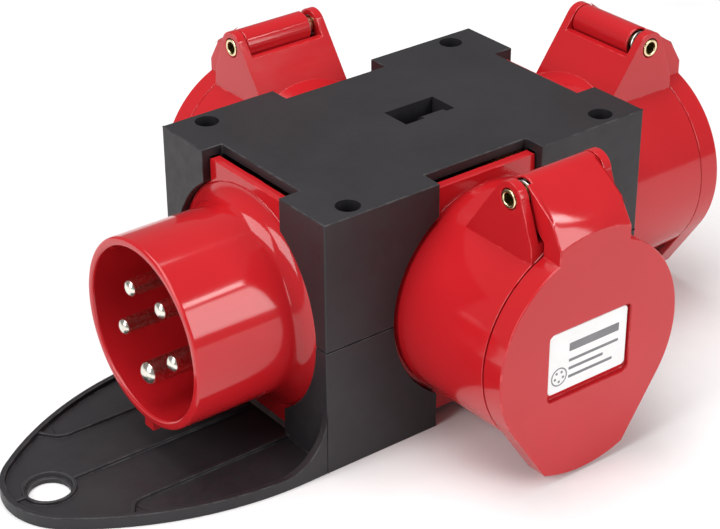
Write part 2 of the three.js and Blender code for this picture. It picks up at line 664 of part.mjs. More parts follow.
// A hollow wedge from the barrel to the lid, narrower at the barrel, cut back by a cone so that
// it meets the lid's face in an arc
function lidNeck() {
  const { halfWidth, backHalfWidth, wall, roof, hollow } = NECK;
  const [topY, topZ] = hingePoint(NECK.topAngle, BARREL_RADIUS);
  const slopeAt = (y) => topZ - (y - topY) * Math.tan(NECK.dropAngle * DEGREE);
  const side = polygon([
    [HINGE_OUT, HINGE_UP], [topY, topZ], [LID_FACE, slopeAt(LID_FACE)], [LID_FACE, NECK.foot],
    [LID_BACK, NECK.foot], ...NECK.heel,
  ]);
  const inside = polygon([
    [hollow.back, slopeAt(hollow.back) - roof], [LID_INNER, slopeAt(LID_INNER) - roof],
    [LID_INNER, hollow.floor], [hollow.toe, hollow.floor], [hollow.back, hollow.bend],
  ]);
  const plan = polygon([
    [-backHalfWidth, HINGE_OUT], [backHalfWidth, HINGE_OUT],
    [halfWidth, LID_FACE], [-halfWidth, LID_FACE],
  ]);
  const { faceRadius, slope, reach, back } = NECK_CONE;
  const cone = latheY([
    [0, back], [reach, back], [reach, LID_FACE - (reach - faceRadius) / slope],
    [faceRadius, LID_FACE], [0, LID_FACE],
  ]);
  const inner = backHalfWidth - wall;
  return cut(solid(prismX(side, -halfWidth, halfWidth)), [solid(prismX(inside, -inner, inner))])
    .intersect(solid(prismZ(plan, 0, FAR)))
    .intersect(solid(cone));
}

function lid() {
  const plate = solid(prismY(lidOutline(LID_RADIUS, BEAK_RADIUS, BEAK_HALF_WIDTH),
    LID_BACK, LID_FACE));
  const hollow = solid(prismY(lidOutline(LID_RADIUS - LID_WALL, BEAK_RADIUS - LID_WALL,
    BEAK_INNER_HALF_WIDTH), LID_BACK - 1, LID_INNER));
  const { width, height, corner, centre, floor } = LABEL_RECESS;
  const barrel = solid(cylinderX(BARREL_RADIUS, BARREL.start, BARREL.end, HINGE_OUT, HINGE_UP));
  return cut(union([plate, lidNeck(), barrel]), [
    hollow,
    solid(cylinderX(HINGE_BORE, -FAR, 1, HINGE_OUT, HINGE_UP, COARSE)),
    solid(cylinderX(SPRING_BORE, 0, FAR, HINGE_OUT, HINGE_UP, COARSE)),
    solid(prismY(roundedRectangle(width, height, corner, 0, centre), floor, FAR, 2)),
  ]);
}

function lidSeal() {
  const { inner, outer, back, front } = LID_SEAL;
  return cut(solid(cylinderY(outer, back, front, MEDIUM)), [
    solid(cylinderY(inner, -FAR, FAR, MEDIUM)),
  ]);
}

function lidLabel() {
  const { width, height, corner, centre, back, front } = LABEL;
  return solid(prismY(roundedRectangle(width, height, corner, 0, centre), back, front, 1));
}

// Conductors: a bar from the inlet to the right socket, with a branch to each side socket

function busbar(contact) {
  const offset = PITCH_RADIUS * Math.cos(contact.angle * DEGREE);
  const level = contact.busLevel;
  const half = BUS_WIDTH / 2;
  const contactZ = AXIS_HEIGHT + PITCH_RADIUS * Math.sin(contact.angle * DEGREE);
  const [z0, z1] = [level, level + BUS_THICKNESS];
  const endX = BLOCK_LENGTH / 2 + BUS_LEG.front;
  const endY = BLOCK_WIDTH / 2 + BUS_LEG.front;
  const legs = FACES.map((face) => {
    const { x } = contactPlace(contact, face);
    return solid(box(x - half, x + half, BUS_LEG.back, BUS_LEG.front,
      Math.min(z0, contactZ - half) - AXIS_HEIGHT, Math.max(z1, contactZ + half) - AXIS_HEIGHT)
      .applyMatrix4(faceMatrix(face)));
  });
  return union([
    solid(box(-endX, endX, -offset - half, -offset + half, z0, z1)),
    solid(box(-offset - half, -offset + half, -endY, -offset + half, z0, z1)),
    solid(box(offset - half, offset + half, -offset - half, endY, z0, z1)),
    ...legs,
  ]);
}

// Assembly

const box3way = new THREE.Group();
box3way.name = 'portable_distribution_box';

function place(name, body, makeMaterial, parent = box3way) {
  const mesh = new THREE.Mesh(geometryOf(body), makeMaterial());
  mesh.name = name;
  parent.add(mesh);
}

place('upper_shell', upperShell(), housingPlastic);
place('lower_shell', lowerShell(), housingPlastic);
screwPlaces().forEach((spot, i) => place(`housing_screw_${i + 1}`, housingScrew(spot), steel));
CONTACTS.forEach((contact) => place(`busbar_${contact.name}`, busbar(contact), copper));

for (const face of FACES) {
  const device = new THREE.Group();
  device.name = face.name;
  device.applyMatrix4(faceMatrix(face));
  box3way.add(device);
  if (face.name === 'inlet') {
    place('inlet_body', inletBody(), redPlastic, device);
    place('inlet_pin_carrier', pinCarrier(face), redInsulator, device);
    CONTACTS.forEach((contact) => (
      place(`inlet_pin_${contact.name}`, inletPin(contact, face), nickel, device)));
  } else {
    place(`${face.name}_body`, socketBody(), redPlastic, device);
    place(`${face.name}_contact_carrier`, contactCarrier(face), blackInsulator, device);
    CONTACTS.forEach((contact) => (
      place(`${face.name}_contact_${contact.name}`, contactSleeve(contact, face), nickel, device)));
    place(`${face.name}_hinge_pin`, hingePin(), brass, device);
    place(`${face.name}_lid_spring`, lidSpring(), steel, device);
    place(`${face.name}_lid`, lid(), redPlastic, device);
    place(`${face.name}_lid_seal`, lidSeal(), blackRubber, device);
    place(`${face.name}_lid_label`, lidLabel(), labelFilm, device);
  }
}

export default box3way;
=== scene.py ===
"""Looks for a portable three-way power distribution box.

Pieces are modelled in millimetres in one of two frames: the row's own frame, or the frame of
one face of the housing, which has +Y out of the housing, +X across, +Z up and its origin on the
device axis in the plane of the face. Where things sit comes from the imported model.
"""

import math

import bmesh
import bpy
from mathutils import Matrix, Vector
from mathutils.geometry import delaunay_2d_cdt


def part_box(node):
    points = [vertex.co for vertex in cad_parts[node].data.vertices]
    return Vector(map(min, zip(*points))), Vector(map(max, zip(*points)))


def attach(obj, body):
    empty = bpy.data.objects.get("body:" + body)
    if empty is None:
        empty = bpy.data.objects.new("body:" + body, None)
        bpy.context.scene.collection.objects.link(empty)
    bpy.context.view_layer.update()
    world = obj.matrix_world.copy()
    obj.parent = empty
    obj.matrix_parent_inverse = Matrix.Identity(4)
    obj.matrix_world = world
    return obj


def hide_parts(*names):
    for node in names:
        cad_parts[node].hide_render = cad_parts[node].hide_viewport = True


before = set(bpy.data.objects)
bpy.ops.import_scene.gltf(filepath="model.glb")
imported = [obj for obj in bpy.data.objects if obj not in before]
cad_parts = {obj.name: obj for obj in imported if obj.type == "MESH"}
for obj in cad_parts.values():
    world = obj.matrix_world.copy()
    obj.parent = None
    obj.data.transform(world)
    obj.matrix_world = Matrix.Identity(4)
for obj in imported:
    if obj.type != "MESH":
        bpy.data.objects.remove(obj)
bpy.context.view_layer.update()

MM = 0.001


def in_mm(corner):
    return [value / MM for value in corner]


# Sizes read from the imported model, in millimetres
BLOCK_LOW, BLOCK_HIGH = (in_mm(corner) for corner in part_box("upper_shell"))
TRAY_LOW, TRAY_HIGH = (in_mm(corner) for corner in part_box("lower_shell"))
CARRIER_LOW, CARRIER_HIGH = (in_mm(corner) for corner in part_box("inlet_pin_carrier"))
HALF_LENGTH = BLOCK_HIGH[0]
HALF_WIDTH = BLOCK_HIGH[1]
BLOCK_TOP = BLOCK_HIGH[2]
TONGUE_TIP = TRAY_LOW[0]
AXIS_HEIGHT = (CARRIER_LOW[2] + CARRIER_HIGH[2]) / 2
SEAM_LOW, SEAM_HIGH = TRAY_HIGH[2], BLOCK_LOW[2]

# Housing
WALL = 3
OPENING_RADIUS = 34.6
NOTCH_HALF = 18.75
NOTCH_TOP = 7
NOTCH_UNDER = 13
RIB_FRONT, RIB_BACK = -6.6, -8.6
RIB_RADIUS = 33.4
RIB_SPAN = 38
SCREW_X, SCREW_Y = 46.4, 34
POST_RADIUS = 5.2
WELL_RADIUS, WELL_FLOOR = 3.6, 46
SCREW_HOLE = 1.9
POCKET = dict(x0=-2.3, x1=16, y0=-4.2, y1=6.1, depth=11, skin=1.6)
MOUND = dict(x0=4.7, x1=12.8, crest=0.6, radius=3.2)
BLOCK_CORNER = 0.4
EDGE = 0.35
FINE_EDGE = 0.25
GAP = 0.3

# Tongue
TIP_RADIUS = 21
TRAY_FLOOR = 2.2
RIM_WIDTH, RIM_TOP = 1.7, 3.8
RIB_TOP, RIB_WIDTH = 3.2, 1.2
SIDE_RIB_Y, SIDE_RIB_END = 20, -108.5
SIDE_RIB_BEND, SIDE_RIB_LEAN, SIDE_RIB_TAIL = 5, 52, 9
HOLE_X, HOLE_RADIUS, HOLE_STEP, HOLE_STEP_FLOOR, BOSS_RADIUS = -126.7, 6, 6.9, 1.6, 7.9
GUSSET_RADIUS, GUSSET_THICKNESS = 16, 2.4
TONGUE_ARC_START = 8
SUNK = 0.5

# Flange and devices
FLANGE_RADIUS, FLANGE_HALF, FLANGE_HALF_HEIGHT = 34.3, 18.4, 36.4
FLANGE_FRONT, FLANGE_BACK = -2.4, -6.3
RETAINER_RADIUS, RETAINER_FRONT = 36, -3.3
FLOOR_HOLE = 21.5
PITCH_RADIUS = 13.3
CONTACTS = {"L1": (54, 2.5), "L2": (126, 2.5), "L3": (198, 2.5), "N": (342, 2.5), "PE": (270, 3.5)}
TAIL_RADIUS, TAIL_END = 2, -14.7
CARRIER_BACK, CARRIER_BOSS = -9, 21.2

# Inlet
SHROUD_OUTER, SHROUD_INNER, SHROUD_MOUTH, SHROUD_LIP = 28.6, 25.9, 35, 0.9
SHROUD_FILLET = 6
INLET_FLOOR = -3.5
KEY_HALF, KEY_TOP, KEY_START = 2.2, 31.5, 2
PIN_CARRIER_RADIUS, PIN_CARRIER_FACE = 25.6, -0.5
PIN_TIP, EARTH_TIP, PIN_DOME, PIN_CLEARANCE = 34.2, 35.2, 0.62, 0.25

# Socket
COLLAR_RADIUS, COLLAR_BASE, COLLAR_BORE, COLLAR_FRONT, COLLAR_FLOOR = 32.6, 33.1, 29.4, 35.2, -1
LIP_RADIUS, LIP_FRONT = 30.1, 38.7
KEYWAY_HALF, KEYWAY_TOP = 3, 31.7
INSERT_RADIUS, INSERT_FACE, INSERT_EDGE, ENTRY_DEPTH, ENTRY_CLEARANCE = 24.9, 36, 0.8, 5.5, 0.5
SLEEVE_WALL, SLEEVE_CLEARANCE = 1.1, 0.1
HINGE_OUT, HINGE_UP = 25.3, 44.1
EAR_HALF, EAR_INNER, EAR_RADIUS, EAR_BACK_ANGLE, EAR_FRONT_ANGLE = 16.3, 13.4, 5.1, 144.7, 5
EAR_FOOT = 20
EAR_FRONT_EDGE = [(35.2, 28.4), (34.8, 33.2), (32.3, 39.8)]
BACK_PLATE, BACK_PLATE_TOP, POCKET_FLOOR = 2, 42.3, 33.4
HINGE_BORE = 3.1
PIN_OUTER, PIN_BORE, PIN_HALF = 2.8, 1.85, 16.5
SPRING_RADIUS, SPRING_WIRE, SPRING_START, SPRING_END, SPRING_TURNS = 3.5, 0.35, 1, 12.6, 6

# Lid
LID_EDGE = 0.38
LID_RADIUS, LID_BACK, LID_INNER, LID_FACE, LID_WALL = 32.5, 35.5, 40.2, 42.6, 1.9
BEAK_RADIUS, BEAK_HALF = 39.5, 14.7
NECK_HALF, NECK_BACK_HALF, NECK_WALL = 12.8, 12.3, 1.8
BARREL_RADIUS, BARREL_START, BARREL_END, SPRING_BORE = 5, -13.1, 10.8, 4.2
NECK_ARC, CONE_SLOPE, CONE_REACH, CONE_BACK = 36.4, 1.57, 60, 20
NECK_ROOF, NECK_FOOT, NECK_HEEL = 2.4, 27, [(30, 38.6), (27.3, 39.55)]
HOLLOW_BACK, HOLLOW_BEND, HOLLOW_TOE, HOLLOW_FLOOR = 31.2, 38, 28, 33.4
NECK_TOP_ANGLE, NECK_DROP = 56.25, 33.75
RECESS = dict(width=30, height=21.6, corner=1.6, centre=-1.8, floor=41)
LABEL = dict(width=28.7, height=19, corner=1.4, centre=-1.2, back=41.3, front=41.7)
SEAL_INNER, SEAL_OUTER, SEAL_BACK, SEAL_FRONT = 28.6, 30.1, 39, 39.9

ROUND = 128
SMALL_ROUND = 40
FAR = 90

SOCKETS = ("front_socket", "right_socket", "back_socket")
FACES = {"inlet": (90, HALF_LENGTH), "front_socket": (180, HALF_WIDTH),
         "right_socket": (-90, HALF_LENGTH), "back_socket": (0, HALF_WIDTH)}


def face_matrix(face):
    turn, reach = FACES[face]
    return (Matrix.Rotation(math.radians(turn), 4, "Z")
            @ Matrix.Translation((0, reach * MM, AXIS_HEIGHT * MM)))


# Meshes from outlines

def new_object(name, verts, faces):
    mesh = bpy.data.meshes.new(name)
    mesh.from_pydata([Vector(v) * MM for v in verts], [], faces)
    bm = bmesh.new()
    bm.from_mesh(mesh)
    bmesh.ops.recalc_face_normals(bm, faces=bm.faces)
    bm.to_mesh(mesh)
    bm.free()
    obj = bpy.data.objects.new(name, mesh)
    bpy.context.scene.collection.objects.link(obj)
    return obj


AXIS_ORDER = {"X": lambda a, b, c: (c, a, b), "Y": lambda a, b, c: (a, c, b),
              "Z": lambda a, b, c: (a, b, c)}


def prism(outline, axis, low, high):
    """An outline in the plane across an axis, standing from one height on it to another."""
    place = AXIS_ORDER[axis]
    count = len(outline)
    verts = [place(a, b, c) for c in (low, high) for a, b in outline]
    faces = [list(range(count)), list(range(count, 2 * count))]
    faces += [(i, (i + 1) % count, (i + 1) % count + count, i + count) for i in range(count)]
    return new_object("prism", verts, faces)


def block(x0, x1, y0, y1, z0, z1):
    return prism([(x0, y0), (x1, y0), (x1, y1), (x0, y1)], "Z", z0, z1)


def arc(cx, cy, radius, start, end, steps):
    return [(cx + radius * math.cos(math.radians(start + (end - start) * i / steps)),
             cy + radius * math.sin(math.radians(start + (end - start) * i / steps)))
            for i in range(steps + 1)]


def circle(radius, steps=ROUND, cx=0, cy=0):
    return arc(cx, cy, radius, 0, 360, steps)[:-1]


def rod(radius, axis, low, high, a=0, b=0, steps=SMALL_ROUND):
    return prism(circle(radius, steps, a, b), axis, low, high)


def rounded_rectangle(width, height, corner, cx=0, cy=0, steps=6):
    w, h = width / 2 - corner, height / 2 - corner
    return (arc(cx + w, cy - h, corner, -90, 0, steps) + arc(cx + w, cy + h, corner, 0, 90, steps)
            + arc(cx - w, cy + h, corner, 90, 180, steps)
            + arc(cx - w, cy - h, corner, 180, 270, steps))


def revolve(profile, steps=ROUND, closed=False, x=0, z=0):
    """A profile of (radius, y) turned round a line along Y. It ends on the axis, or is closed."""
    verts, rings = [], []
    for radius, y in profile:
        count = 1 if radius < 1e-6 else steps
        rings.append([len(verts) + i for i in range(count)])
        verts += [(x + radius * math.cos(2 * math.pi * i / steps), y,
                   z + radius * math.sin(2 * math.pi * i / steps)) for i in range(count)]
    faces = []
    pairs = list(zip(rings, rings[1:])) + ([(rings[-1], rings[0])] if closed else [])
    for one, two in pairs:
        for i in range(steps):
            j = (i + 1) % steps
            corners = [one[i % len(one)], one[j % len(one)], two[j % len(two)], two[i % len(two)]]
            corners = list(dict.fromkeys(corners))
            if len(corners) > 2:
                faces.append(corners)
    return new_object("revolve", verts, faces)


def turned(obj, face):
    obj.data.transform(face_matrix(face))
    return obj


# Joining, cutting and rounding

PLANE_ERROR, THIN_AREA, PARALLEL = 0.006, 0.001, math.cos(math.radians(0.4))

def evaluated(obj):
    graph = bpy.context.evaluated_depsgraph_get()
    mesh = bpy.data.meshes.new_from_object(obj.evaluated_get(graph))
    obj.modifiers.clear()
    obj.data = mesh
    return obj


def carve(body, joins=(), cuts=(), keep=None):
    """Joins, then cuts, then keeps only what lies inside one last solid."""
    steps = [(tool, "UNION") for tool in joins] + [(tool, "DIFFERENCE") for tool in cuts]
    if keep is not None:
        steps.append((keep, "INTERSECT"))
    for tool, operation in steps:
        modifier = body.modifiers.new(operation, "BOOLEAN")
        modifier.operation = operation
        modifier.solver = "MANIFOLD"
        modifier.object = tool
    evaluated(body)
    for tool, _ in steps:
        bpy.data.objects.remove(tool)
    return body


def flat_patches(bm, rounded):
    """Groups of touching faces that lie in one plane, the rounded edges left out."""
    faces = [f for f in bm.faces if f[rounded] < 0.5]
    waiting = set(faces)
    patches = []
    for seed in sorted(faces, key=lambda f: -f.calc_area()):
        if seed not in waiting:
            continue
        waiting.discard(seed)
        normal, point = seed.normal.copy(), seed.verts[0].co.copy()
        patch, rim = {seed: True}, [seed]
        while rim:
            for other in [g for e in rim.pop().edges for g in e.link_faces if g in waiting]:
                level = all(abs((v.co - point).dot(normal)) < PLANE_ERROR * MM for v in other.verts)
                thin = other.calc_area() < THIN_AREA * MM * MM
                if level and (thin or abs(other.normal.dot(normal)) > PARALLEL):
                    waiting.discard(other)
                    patch[other] = True
                    rim.append(other)
        patches.append((patch, normal))
    return patches


def split_afresh(bm, patch, normal):
    """Replaces a flat patch, which may hold folded slivers, by well-shaped triangles."""
    edges = [e for f in patch for e in f.edges if sum(g in patch for g in e.link_faces) == 1]
    verts = list(dict.fromkeys(v for e in edges for v in e.verts))
    if len(patch) == 1 and len(verts) < 5:
        return
    side = normal.orthogonal().normalized()
    up = normal.cross(side)
    number = {v: i for i, v in enumerate(verts)}
    flat = [Vector((v.co.dot(side), v.co.dot(up))) / MM for v in verts]
    pairs = [(number[e.verts[0]], number[e.verts[1]]) for e in edges]
    _, _, triangles, origins, _, _ = delaunay_2d_cdt(flat, pairs, [], 0, 1e-5)
    if any(len(origin) != 1 for origin in origins):
        return

    def is_inside(triangle):
        x, y = sum((flat[i] for i in triangle), Vector((0, 0))) / 3
        crossings = 0
        for i, j in pairs:
            (x0, y0), (x1, y1) = flat[i], flat[j]
            if (y0 > y) != (y1 > y) and x < x0 + (y - y0) * (x1 - x0) / (y1 - y0):
                crossings += 1
        return crossings % 2 == 1

    corners = [[origins[i][0] for i in triangle] for triangle in triangles]
    corners = [triangle for triangle in corners if is_inside(triangle)]
    bmesh.ops.delete(bm, geom=list(patch), context="FACES")
    for triangle in corners:
        bm.faces.new([verts[i] for i in triangle])


def round_edges(obj, width, steps=2, sharper_than=32):
    """Rounds every sharp edge and marks the faces it makes, so that materials can wear them."""
    bm = bmesh.new()
    bm.from_mesh(obj.data)
    bmesh.ops.remove_doubles(bm, verts=bm.verts, dist=0.01 * MM)
    bmesh.ops.dissolve_limit(bm, angle_limit=math.radians(0.3), verts=bm.verts, edges=bm.edges)
    bmesh.ops.triangulate(bm, faces=[f for f in bm.faces if len(f.verts) > 4])
    bmesh.ops.recalc_face_normals(bm, faces=bm.faces)
    edges = [e for e in bm.edges if e.is_manifold
             and e.calc_face_angle(0) > math.radians(sharper_than)]
    rounded = bm.faces.layers.float.new("worn_edge")
    made = bmesh.ops.bevel(bm, geom=edges, offset=width * MM, offset_type="OFFSET",
                           segments=steps, profile=0.5, affect="EDGES", clamp_overlap=False,
                           loop_slide=True)
    for f in made["faces"]:
        f[rounded] = 1
    bmesh.ops.remove_doubles(bm, verts=bm.verts, dist=0.004 * MM)
    for patch, normal in flat_patches(bm, rounded):
        split_afresh(bm, patch, normal)
    bm.normal_update()
    bmesh.ops.triangulate(bm, faces=[f for f in bm.faces if len(f.verts) > 4])
    bm.to_mesh(obj.data)
    bm.free()
    return obj


def finish_mesh(obj):
    """Smooth shading that stays flat on the flat faces."""
    mesh = obj.data
    mesh.shade_smooth()
    mesh.set_sharp_from_angle(angle=math.radians(38))
    if not obj.modifiers:
        weighted = obj.modifiers.new("weighted", "WEIGHTED_NORMAL")
        weighted.keep_sharp = True
        weighted.weight = 60
    return obj


def make_piece(name, obj, body, material, nodes, matrix=None):
    obj.name = name
    obj.data.name = name
    finish_mesh(obj)
    obj.data.materials.clear()
    obj.data.materials.append(material)
    if matrix is not None:
        obj.matrix_world = matrix
    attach(obj, body)
    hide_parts(*nodes)
    return obj


def copy_of(obj):
    twin = bpy.data.objects.new(obj.name, obj.data.copy())
    bpy.context.scene.collection.objects.link(twin)
    return twin


# Housing

def block_slab(z0, z1, inset=0):
    outline = rounded_rectangle(2 * (HALF_LENGTH - inset), 2 * (HALF_WIDTH - inset), BLOCK_CORNER)
    return prism(outline, "Z", z0, z1)


def face_openings():
    tools = []
    for face in FACES:
        tools += [turned(tool, face) for tool in (
            rod(OPENING_RADIUS, "Y", -WALL - 1, 1, steps=ROUND),
            block(-NOTCH_HALF, NOTCH_HALF, -NOTCH_TOP, 1, 0, FAR),
            block(-NOTCH_HALF, NOTCH_HALF, -NOTCH_UNDER, 1, -FAR, 0))]
    return tools


def retaining_ribs():
    ribs = []
    for face in FACES:
        rib = carve(block(-RIB_SPAN, RIB_SPAN, RIB_BACK, RIB_FRONT, -FAR, FAR), cuts=[
            rod(RIB_RADIUS, "Y", RIB_BACK - 1, RIB_FRONT + 1, steps=ROUND),
            block(-NOTCH_HALF, NOTCH_HALF, RIB_BACK - 1, RIB_FRONT + 1, -FAR, FAR)])
        ribs.append(turned(rib, face))
    return ribs


def screw_places():
    return [(a * SCREW_X, b * SCREW_Y) for a, b in ((1, 1), (1, -1), (-1, 1), (-1, -1))]


def shell_half(z0, z1, hollow0, hollow1):
    half_length, half_width = HALF_LENGTH - WALL, HALF_WIDTH - WALL
    posts = [rod(POST_RADIUS, "Z", z0, z1, x, y) for x, y in screw_places()]
    shell = carve(block_slab(z0, z1), cuts=[
        block(-half_length, half_length, -half_width, half_width, hollow0, hollow1)])
    shell = carve(shell, joins=posts + retaining_ribs(), keep=block_slab(z0, z1))
    return carve(shell, cuts=face_openings())


def upper_shell():
    p = POCKET
    skin = block(p["x0"] - p["skin"], p["x1"] + p["skin"], p["y0"] - p["skin"],
                 p["y1"] + p["skin"], BLOCK_TOP - p["depth"] - p["skin"], BLOCK_TOP - 1)
    floor = BLOCK_TOP - p["depth"]
    crest, radius = p["y0"] + MOUND["crest"], MOUND["radius"]
    mound = [(p["y0"] - 1, floor - 1), (crest + radius, floor - 1)]
    mound += arc(crest, BLOCK_TOP - radius, radius, 0, 90, 12)
    mound += [(crest, BLOCK_TOP + 2), (p["y0"] - 1, BLOCK_TOP + 2)]
    hollow = carve(block(p["x0"], p["x1"], p["y0"], p["y1"], floor, BLOCK_TOP + 1),
                   cuts=[prism(mound, "X", MOUND["x0"], MOUND["x1"])])
    wells = [rod(WELL_RADIUS, "Z", WELL_FLOOR, BLOCK_TOP + 1, x, y) for x, y in screw_places()]
    wells += [rod(SCREW_HOLE, "Z", SEAM_HIGH - 1, WELL_FLOOR + 1, x, y)
              for x, y in screw_places()]
    shell = shell_half(SEAM_HIGH, BLOCK_TOP, SEAM_HIGH - 1, BLOCK_TOP - WALL)
    shell = round_edges(carve(shell, joins=[skin]), EDGE, 3)
    return carve(shell, cuts=[hollow] + wells)


def tongue_outline(inset):
    start = -HALF_LENGTH - TONGUE_ARC_START
    tip = TONGUE_TIP + TIP_RADIUS
    run = tip - start
    side = (run ** 2 + HALF_WIDTH ** 2 - TIP_RADIUS ** 2) / (2 * (HALF_WIDTH - TIP_RADIUS))
    turn = math.degrees(math.atan2(-run, side - HALF_WIDTH))
    outline = [(start + 20, -HALF_WIDTH + inset), (start + 20, HALF_WIDTH - inset)]
    outline += arc(start, HALF_WIDTH - side, side - inset, 90, 90 + turn, 40)[:-1]
    outline += arc(tip, 0, TIP_RADIUS - inset, 90 + turn, 270 - turn, 40)[:-1]
    outline += arc(start, side - HALF_WIDTH, side - inset, 270 - turn, 270, 40)
    return outline


def side_rib(side):
    """A rib that runs back from the block and bends out to the rim in one arc."""
    half = RIB_WIDTH / 2
    y, end = SIDE_RIB_Y, SIDE_RIB_END
    bend, lean = SIDE_RIB_BEND, SIDE_RIB_LEAN
    inner = arc(end, y + bend, bend - half, 270, 270 - lean, 8)
    outer = arc(end, y + bend, bend + half, 270, 270 - lean, 8)
    step = (-math.cos(math.radians(lean)) * SIDE_RIB_TAIL,
            math.sin(math.radians(lean)) * SIDE_RIB_TAIL)
    tail = [(inner[-1][0] + step[0], inner[-1][1] + step[1]),
            (outer[-1][0] + step[0], outer[-1][1] + step[1])]
    root = -HALF_LENGTH + 1
    outline = [(root, y + half)] + inner + tail + outer[::-1] + [(root, y - half)]
    return prism([(a, b * side) for a, b in outline], "Z", SUNK, RIB_TOP)


def gusset(side):
    root = -HALF_LENGTH + 1
    bottom = RIM_TOP - 0.4
    outline = [(root, SUNK), (root, bottom + GUSSET_RADIUS)]
    outline += arc(-HALF_LENGTH - GUSSET_RADIUS, bottom + GUSSET_RADIUS, GUSSET_RADIUS, 0, -90, 24)
    outline += [(-HALF_LENGTH - GUSSET_RADIUS, SUNK)]
    y = side * (HALF_WIDTH - GUSSET_THICKNESS / 2)
    return prism(outline, "Y", y - GUSSET_THICKNESS / 2, y + GUSSET_THICKNESS / 2)


def tongue():
    half = RIB_WIDTH / 2
    middle_rib = block(TONGUE_TIP + 0.8, -HALF_LENGTH + 1, -half, half, SUNK, RIB_TOP)
    tray = carve(prism(tongue_outline(0), "Z", 0, RIM_TOP),
                 cuts=[prism(tongue_outline(RIM_WIDTH), "Z", TRAY_FLOOR, FAR)])
    tray = carve(tray, joins=[
        middle_rib, rod(BOSS_RADIUS, "Z", SUNK, RIB_TOP, HOLE_X, 0, 80),
        side_rib(1), side_rib(-1), gusset(1), gusset(-1)],
        keep=prism(tongue_outline(0), "Z", 0, FAR))
    return carve(tray, cuts=[
        rod(HOLE_RADIUS, "Z", -1, FAR, HOLE_X, 0, 72),
        rod(HOLE_STEP, "Z", HOLE_STEP_FLOOR, FAR, HOLE_X, 0, 72),
        block(-HALF_LENGTH, 0, -FAR, FAR, -1, FAR)])


def lower_shell():
    holes = [rod(SCREW_HOLE, "Z", 20, SEAM_LOW + 1, x, y) for x, y in screw_places()]
    root = block(-HALF_LENGTH - 1, -HALF_LENGTH - FLANGE_FRONT - GAP, 1 - HALF_WIDTH,
                 HALF_WIDTH - 1, 0, TRAY_FLOOR)
    shell = shell_half(0, SEAM_LOW, WALL, SEAM_LOW + 1)
    shell = carve(shell, cuts=holes)
    shell = carve(shell, joins=[tongue(), root])
    return round_edges(shell, FINE_EDGE, 2)


# Devices

def contact_places(face):
    side = -1 if face == "inlet" else 1
    for name, (angle, radius) in CONTACTS.items():
        yield (name, side * PITCH_RADIUS * math.cos(math.radians(angle)),
               PITCH_RADIUS * math.sin(math.radians(angle)), radius)


def flange_plate():
    plate = rod(FLANGE_RADIUS, "Y", FLANGE_BACK, FLANGE_FRONT, steps=ROUND)
    half, height = FLANGE_HALF, FLANGE_HALF_HEIGHT
    return carve(plate, joins=[
        rod(RETAINER_RADIUS, "Y", FLANGE_BACK, RETAINER_FRONT, steps=ROUND),
        prism(rounded_rectangle(2 * half, 2 * height, 0.8), "Y", FLANGE_BACK + 0.7, FLANGE_FRONT)])


def inlet_body():
    fillet = arc(SHROUD_OUTER + SHROUD_FILLET, FLANGE_FRONT + SHROUD_FILLET, SHROUD_FILLET,
                 262, 180, 16)
    lip = SHROUD_LIP
    shroud = revolve([(0, FLANGE_BACK), (FLANGE_RADIUS - 1, FLANGE_BACK)] + fillet
                     + arc(SHROUD_OUTER - lip, SHROUD_MOUTH - lip, lip, 0, 90, 6)
                     + arc(SHROUD_INNER + lip, SHROUD_MOUTH - lip, lip, 90, 180, 6)
                     + [(SHROUD_INNER, INLET_FLOOR), (0, INLET_FLOOR)])
    key = carve(block(-KEY_HALF, KEY_HALF, KEY_START, SHROUD_MOUTH - 0.6, -KEY_TOP,
                      -SHROUD_INNER - 0.5),
                cuts=[rod(SHROUD_INNER + 1, "Y", 0, FAR, steps=ROUND)])
    body = carve(flange_plate(), joins=[shroud, key], cuts=[
        rod(SHROUD_INNER, "Y", INLET_FLOOR, SHROUD_MOUTH - lip, steps=ROUND),
        rod(FLOOR_HOLE, "Y", FLANGE_BACK - 1, INLET_FLOOR + 1, steps=ROUND)])
    return round_edges(body, FINE_EDGE, 2)


def pin_carrier():
    disc = revolve([(0, CARRIER_BACK), (CARRIER_BOSS, CARRIER_BACK),
                    (CARRIER_BOSS, INLET_FLOOR + GAP), (PIN_CARRIER_RADIUS, INLET_FLOOR + GAP),
                    (PIN_CARRIER_RADIUS, PIN_CARRIER_FACE), (0, PIN_CARRIER_FACE)])
    carrier = carve(disc, cuts=[rod(radius + PIN_CLEARANCE, "Y", -FAR, 1, x, z)
                                for _, x, z, radius in contact_places("inlet")])
    return round_edges(carrier, FINE_EDGE, 2)


def inlet_pin(x, z, radius, tip):
    dome = [(radius * math.cos(math.radians(a)),
             tip - radius * PIN_DOME * (1 - math.sin(math.radians(a)))) for a in range(0, 85, 12)]
    return revolve([(0, TAIL_END), (TAIL_RADIUS, TAIL_END), (TAIL_RADIUS, CARRIER_BACK),
                    (radius, CARRIER_BACK)] + dome + [(0, tip)], steps=SMALL_ROUND, x=x, z=z)


def hinge_point(angle, radius):
    return (HINGE_OUT + radius * math.cos(math.radians(angle)),
            HINGE_UP + radius * math.sin(math.radians(angle)))


def back_slope(height):
    y, z = hinge_point(EAR_BACK_ANGLE, EAR_RADIUS)
    return y - (z - height) / math.tan(math.radians(EAR_BACK_ANGLE - 90))


